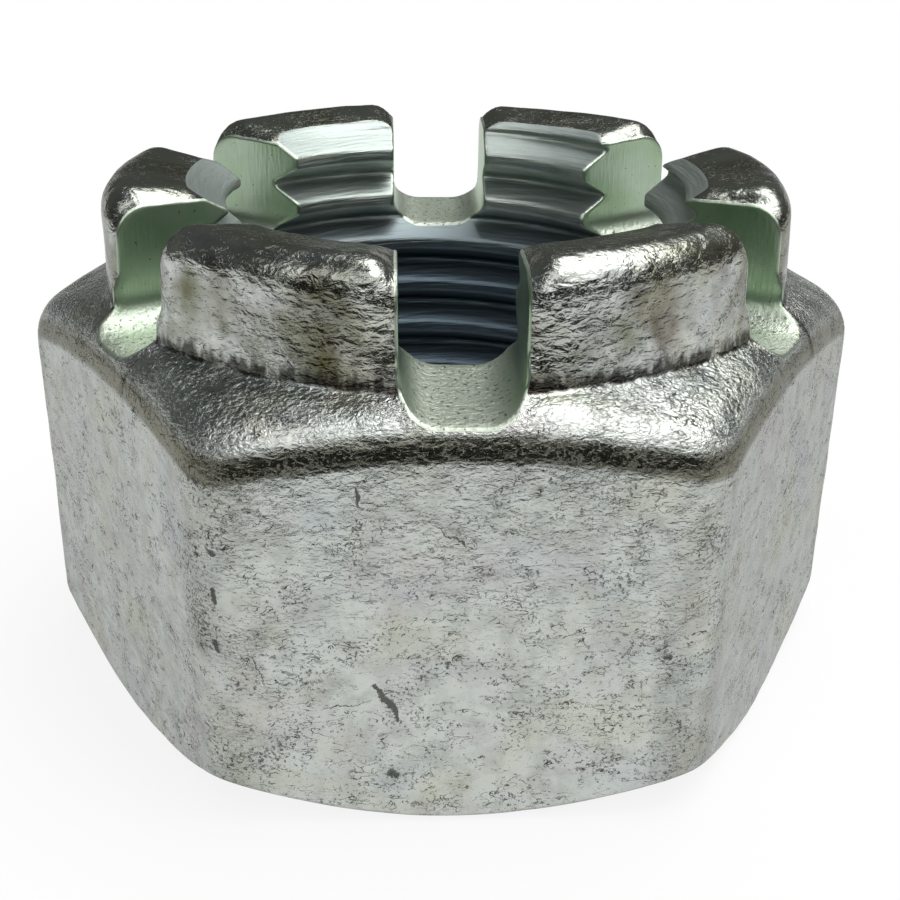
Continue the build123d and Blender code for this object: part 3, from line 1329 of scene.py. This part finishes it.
    def tap(self, geometry: Socket) -> Socket:
        """Cut the right-hand thread, moving each vertex out along its column.

        Args:
            geometry: The whole ring's geometry.

        Returns:
            The geometry with its thread.
        """
        add = self.add
        parts = add("ShaderNodeSeparateXYZ", add("GeometryNodeInputPosition")).node.outputs
        flat = add("ShaderNodeCombineXYZ", parts["X"], parts["Y"], 0.0)
        radius = add(VECTOR, flat, operation="LENGTH", output="Value")
        angle = add("ARCTAN2", parts["Y"], parts["X"])
        mouth = self.mouth_at(parts["Z"])
        cut = add("ADD", self.inputs["Minor radius"], self.thread_depth(parts["Z"], angle))
        shift = add("MAXIMUM", add("SUBTRACT", cut, mouth), 0.0)
        inside = add("DIVIDE", add("SUBTRACT", radius, mouth), self.inputs["Thread reach"])
        fade = add(RANGE, inside, 0.0, 1.0, 1.0, 0.0)
        moved = add("MULTIPLY_ADD", shift, fade, radius)
        lateral = add("MULTIPLY", self.read("lateral"), MM)
        before, after = (add("ARCSINE", add("DIVIDE", lateral, r)) for r in (radius, moved))
        turned = add("SUBTRACT", after, before)
        heading = add("MULTIPLY_ADD", self.read("slide"), turned, angle)
        x, y = (add("MULTIPLY", moved, add(way, heading)) for way in ("COSINE", "SINE"))
        place = add("ShaderNodeCombineXYZ", x, y, parts["Z"])
        return add("GeometryNodeSetPosition", geometry, Position=place)

    def forge(self, geometry: Socket) -> Socket:
        """Roughen the forged skin with broad waves and smaller lumps.

        Args:
            geometry: The tapped nut's geometry.

        Returns:
            The geometry with its rough skin.
        """
        add = self.add
        position = add("GeometryNodeInputPosition")
        total: Any = 0.0
        for kind in ("Wave", "Lump"):
            scale = add("DIVIDE", 1.0, self.inputs[f"{kind} size"])
            noise = add(NOISE, position, W=self.inputs["Seed"], Detail=1.0, Scale=scale,
                        noise_dimensions="4D")
            swing = add("MULTIPLY_ADD", noise, 2.0, -1.0)
            total = add("MULTIPLY_ADD", swing, self.inputs[f"{kind} depth"], total)
        amount = add("MULTIPLY", total, self.read("skin"))
        offset = add(VECTOR, add("GeometryNodeInputNormal"), Scale=amount, operation="SCALE")
        return add("GeometryNodeSetPosition", geometry, Offset=offset)


# --- Studio ---


@dataclass(frozen=True)
class Camera:
    """The camera, by where it stands and how it is turned, in degrees, and its lens in mm."""

    place_mm: tuple[float, float, float] = (-4.03, -92.82, 56.47)
    yaw: float = -2.7435  # left of straight ahead is positive
    pitch: float = -24.8288
    roll: float = 0.6967
    lens: float = 55.85

    def build(self) -> None:
        """Make the camera and give it to the scene."""
        data = bpy.data.cameras.new("camera")
        data.lens = self.lens
        data.sensor_width = 36.0
        data.clip_start = 1 * MM
        camera = link("camera", data)
        camera.location = Vector(self.place_mm) * MM
        tilt = Euler((math.radians(90 + self.pitch), 0, math.radians(self.yaw)))
        turn = Euler((0, 0, math.radians(self.roll)))
        camera.rotation_euler = (tilt.to_matrix() @ turn.to_matrix()).to_euler()
        bpy.context.scene.camera = camera


@dataclass(frozen=True)
class Softbox:
    """A soft rectangular light that faces the nut.

    Attributes:
        name: The light's name.
        place: Its middle, in metres.
        size: Its width and height, in metres.
        radiance: How bright its face is, where 1 is white.
    """

    name: str
    place: tuple[float, float, float]
    size: tuple[float, float]
    radiance: float

    def build(self) -> None:
        """Make the light."""
        data = bpy.data.lights.new(self.name, "AREA")
        data.shape = "RECTANGLE"
        data.size, data.size_y = self.size
        data.energy = self.radiance * math.pi * self.size[0] * self.size[1]
        light = link(self.name, data)
        light.location = self.place
        light.rotation_euler = Vector(self.place).to_track_quat("Z", "Y").to_euler()


def sheet(name: str, corners: list[tuple[float, float, float]],
          material: bpy.types.Material) -> bpy.types.Object:
    """Make a flat sheet with four corners.

    Args:
        name: Its name.
        corners: Its corners in order, in metres.
        material: Its material.

    Returns:
        The sheet, linked to the scene.
    """
    mesh = bpy.data.meshes.new(name)
    mesh.from_pydata(corners, [], [(0, 1, 2, 3)])
    mesh.materials.append(material)
    return link(name, mesh)


@dataclass(frozen=True)
class Studio:
    """A white floor, a soft light in front, one overhead and a dark card that paints shade into
    the metal's reflections, in a dim room.

    Places and sizes are in metres.
    """

    floor_radius: float = 3.0
    covered_radius: float = 0.024  # the floor under the nut, which no light reaches
    glow_radii: tuple[float, float] = (0.026, 0.05)
    glow_shares: tuple[float, float] = (0.85, 1.0)  # share of white that no shadow dims
    softboxes: tuple[Softbox, ...] = (
        Softbox("front", (0.05, -0.33, 0.46), (1.1, 0.5), 1.5),
        Softbox("overhead", (0.17, 0.08, 0.5), (0.52, 0.36), 3.8),
    )
    card_size: tuple[float, float, float] = (0.16, -0.112, 0.06)  # half width, place, height
    near_room: tuple[tuple[float, str], ...] = (
        (0.0, "#1A1B1A"), (0.4, "#232625"), (1.0, "#40464A"))  # by the sine of the elevation
    far_room: tuple[tuple[float, str], ...] = (
        (0.0, "#5A5C57"), (0.35, "#6A6C66"), (0.7, "#565B5C"), (1.0, "#40464A"))
    room_blend: float = 0.3  # sine of how far either way one turns into the other

    def build(self) -> None:
        """Make the floor, the lights and the room."""
        bpy.context.scene.view_settings.view_transform = "Standard"
        self.floor()
        for softbox in self.softboxes:
            softbox.build()
        self.card()
        self.room()

    def floor(self) -> None:
        """Make the floor, white to the eye and in reflections, with the nut's shadow."""
        material = bpy.data.materials.new("white_table")
        add = wiring(material)
        rays = add("ShaderNodeLightPath").node.outputs
        seen = add("MAXIMUM", rays["Is Camera Ray"], rays["Is Glossy Ray"])
        seen = add("MAXIMUM", seen, rays["Is Transmission Ray"])
        away = add(VECTOR, add("ShaderNodeTexCoord", output="Object"), operation="LENGTH",
                   output="Value")
        glow = add(RANGE, away, *self.glow_radii, *self.glow_shares)
        open_floor = add("GREATER_THAN", away, self.covered_radius)
        share = add("MULTIPLY", add("MULTIPLY", seen, glow), open_floor)
        diffuse = add("ShaderNodeBsdfDiffuse", linear("#F2F2F2"))
        white = add("ShaderNodeEmission", WHITE, 1.0)
        add("ShaderNodeOutputMaterial", add("ShaderNodeMixShader", share, diffuse, white))
        r = self.floor_radius
        floor = sheet("floor", [(-r, -r, 0), (r, -r, 0), (r, r, 0), (-r, r, 0)], material)

    def card(self) -> None:
        """Stand a dark card in front, which shows in the metal and nowhere else: a painted
        reflection of the shade in front of the nut.
        """
        # The card's dark colour paints the shade in front of the nut into the metal's reflections.
        material = bpy.data.materials.new("shade_reflection_card_material")
        add = wiring(material)
        add("ShaderNodeOutputMaterial", add("ShaderNodeBsdfDiffuse", linear("#141513")))
        x, y, z = self.card_size
        card = sheet("shade_reflection_card", [(-x, y, 0), (x, y, 0), (x, y, z), (-x, y, z)], material)
        # Only reflections see it: it casts no shadow, and the camera can't see it.
        card.visible_camera = card.visible_diffuse = card.visible_shadow = False

    def room(self) -> None:
        """Make the room: dark in front of the nut, grey behind it."""
        world = bpy.data.worlds.new("room")
        add = wiring(world)
        way = add("ShaderNodeTexCoord", output="Generated")
        parts = add("ShaderNodeSeparateXYZ", way).node.outputs
        near, distant = (
            add("ShaderNodeValToRGB", parts["Z"],
                stops=[(position, linear(colour)) for position, colour in colours])
            for colours in (self.near_room, self.far_room))
        far = add(RANGE, parts["Y"], -self.room_blend, self.room_blend, 0.0, 1.0)
        colour = near
        for share, over in ((far, distant),
                            (add("ShaderNodeLightPath", output="Is Camera Ray"), WHITE)):
            colour = add("ShaderNodeMix", Factor=share, A=colour, B=over, data_type="RGBA",
                         output="Result")
        add("ShaderNodeOutputWorld", add("ShaderNodeBackground", colour, 1.0))
        bpy.context.scene.world = world


# --- Assembly ---


def build_nut() -> bpy.types.Object:
    """Build the whole plated nut as a plain mesh and put it in the frame.

    Returns:
        The nut's object, which stands for the solid.
    """
    low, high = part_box(NODE)
    thread = next(m for m in frame["record"]["mounts"] if m["name"] == "thread")
    middle = thread["pos_m"][2] / MM
    reach = thread["dims"]["length_mm"] / 2
    nut = CastleNut(across_flats=(high[1] - low[1]) / MM, minor_radius=thread["dims"]["r_mm"],
                    bore_foot=middle - reach, bore_top=middle + reach)
    materials = {kind: finish.material() for kind, finish in FINISHES.items()}
    sector = link("sector", Sector(nut).build())
    tree = NutTree(nut, materials).build()
    modifier = sector.modifiers.new("whole", "NODES")
    modifier.node_group = tree
    for socket in tree.interface.items_tree:
        if socket.in_out == "INPUT" and socket.socket_type != "NodeSocketGeometry":
            modifier[socket.identifier] = socket.default_value
    graph = bpy.context.evaluated_depsgraph_get()
    mesh = bpy.data.meshes.new_from_object(sector.evaluated_get(graph), depsgraph=graph)
    bpy.data.objects.remove(sector)
    while None in mesh.materials[:]:  # the sector's own empty slot
        mesh.materials.pop(index=mesh.materials[:].index(None))
    mesh.name = "plated_castle_nut"
    piece = link("plated_castle_nut", mesh)
    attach(piece, "root")
    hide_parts(NODE)
    return piece


def main() -> None:
    """Build the studio and the nut, and log each piece."""
    logging.basicConfig(level=logging.INFO, format="%(name)s: %(message)s")
    Studio().build()
    Camera().build()
    piece = build_nut()
    LOG.info("%s: %d vertices, %d faces", piece.name, len(piece.data.vertices),
             len(piece.data.polygons))


if __name__ == "__main__":
    main()
